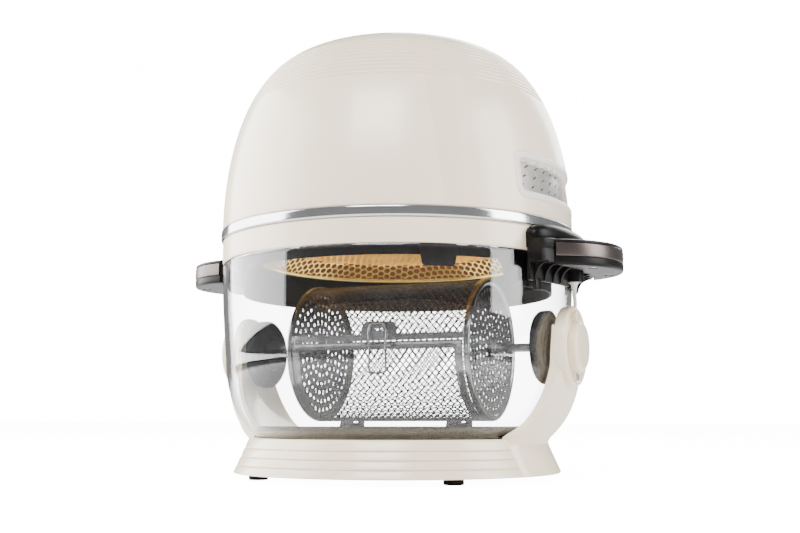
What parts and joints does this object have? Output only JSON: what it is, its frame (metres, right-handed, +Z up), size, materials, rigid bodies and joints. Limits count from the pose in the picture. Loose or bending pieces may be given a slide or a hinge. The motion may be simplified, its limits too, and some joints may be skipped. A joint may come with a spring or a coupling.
{
  "type": "hot-air fryer with glass bowl and rotisserie basket",
  "caption": "Countertop hot-air fryer: domed heater head with two paddle handles on a round glass bowl, stepped base with curved arms, and a motor-driven rotating mesh basket.",
  "frame": {"origin": "on the table at the bottom of the feet, under the bowl's axis", "axes": "+Z up, +X towards the arm that holds the basket motor, -Y towards the user at the front"},
  "size_m": [0.349, 0.27, 0.3292],
  "materials": {
    "cream_gloss": "gloss",
    "vent_plastic": "satin",
    "dark_plastic": "satin",
    "pad_plastic": "matte",
    "shield_black": "matte",
    "rubber": "matte",
    "cord_cream": "satin",
    "band_steel": "polished",
    "trim_metal": "satin metallic",
    "plate_steel": "polished dark",
    "basket_steel": "bright wire",
    "glass": "clear",
    "guard_metal": "warm plated",
    "shield_metal": "heat-tinted",
    "sheet_metal": "satin",
    "motor_metal": "satin",
    "element": "oxidised",
    "fan_plastic": "matte",
    "panel_black": "gloss",
    "board": "satin"
  },
  "bodies": {
    "base": {"base_shell": "cream_gloss", "bottom_plate": "dark_plastic", "foot_1": "rubber", "foot_2": "rubber", "foot_3": "rubber", "foot_4": "rubber", "arm_right": "cream_gloss", "arm_left": "cream_gloss", "pod_body": "cream_gloss", "pod_lid": "cream_gloss", "pod_screw": "sheet_metal", "gearmotor": "sheet_metal", "idler_cap": "cream_gloss", "lead": "cord_cream", "lead_plug": "cord_cream"},
    "rotor": {"magnet_rotor": "motor_metal"},
    "bowl": {"glass_bowl": "glass", "drip_tray": "plate_steel", "hub_right": "pad_plastic", "hub_left": "pad_plastic"},
    "basket": {"basket_mesh": "basket_steel", "basket_cap_right": "basket_steel", "basket_cap_left": "basket_steel", "basket_frame": "basket_steel", "rod_right": "basket_steel", "rod_left": "basket_steel", "drive_socket": "pad_plastic", "idler_socket": "pad_plastic", "latch_catch": "basket_steel"},
    "door": {"door_frame": "basket_steel", "door_mesh": "basket_steel"},
    "bail": {"latch_bail": "basket_steel"},
    "head": {"dome_shell": "cream_gloss", "steel_band": "band_steel", "lower_ring": "cream_gloss", "vent_right": "vent_plastic", "vent_left": "vent_plastic", "touch_panel": "panel_black", "control_board": "board", "chassis": "sheet_metal", "motor": "motor_metal", "heating_element": "element", "guard": "guard_metal", "heat_shield": "shield_metal", "air_skirt": "shield_black", "bracket_right": "dark_plastic", "bracket_left": "dark_plastic", "grip_right": "dark_plastic", "grip_left": "dark_plastic", "trim_right": "trim_metal", "trim_left": "trim_metal", "root_cover": "dark_plastic", "inlet": "dark_plastic", "handle_screws": "sheet_metal", "thermostat": "sheet_metal", "lead_socket": "dark_plastic"},
    "fan": {"motor_shaft": "sheet_metal", "convection_fan": "sheet_metal", "cooling_fan": "fan_plastic"}
  },
  "joints": [
    {"name": "bowl_lift", "type": "slide", "parent": "base", "child": "bowl", "axis": [0, 0, 1], "range_m": [0, 0.12]},
    {"name": "head_lift", "type": "slide", "parent": "bowl", "child": "head", "axis": [0, 0, 1], "range_m": [0, 0.12]},
    {"name": "basket_spin", "type": "hinge", "parent": "bowl", "child": "basket", "pos_m": [0, 0, 0.095], "axis": [1, 0, 0], "continuous": true},
    {"name": "rotor_spin", "type": "hinge", "parent": "base", "child": "rotor", "pos_m": [0, 0, 0.095], "axis": [1, 0, 0], "continuous": true},
    {"name": "door_swing", "type": "hinge", "parent": "basket", "child": "door", "pos_m": [0, 0.0016, 0.0404], "axis": [1, 0, 0], "range_deg": [0, 30]},
    {"name": "bail_swing", "type": "hinge", "parent": "door", "child": "bail", "pos_m": [0, -0.0545, 0.096], "axis": [1, 0, 0], "range_deg": [0, 11]},
    {"name": "fan_spin", "type": "hinge", "parent": "head", "child": "fan", "pos_m": [0, 0, 0.2], "axis": [0, 0, 1], "continuous": true}
  ],
  "couplings": [
    {"joint": "rotor_spin", "follows": "basket_spin", "ratio": 1}
  ]
}
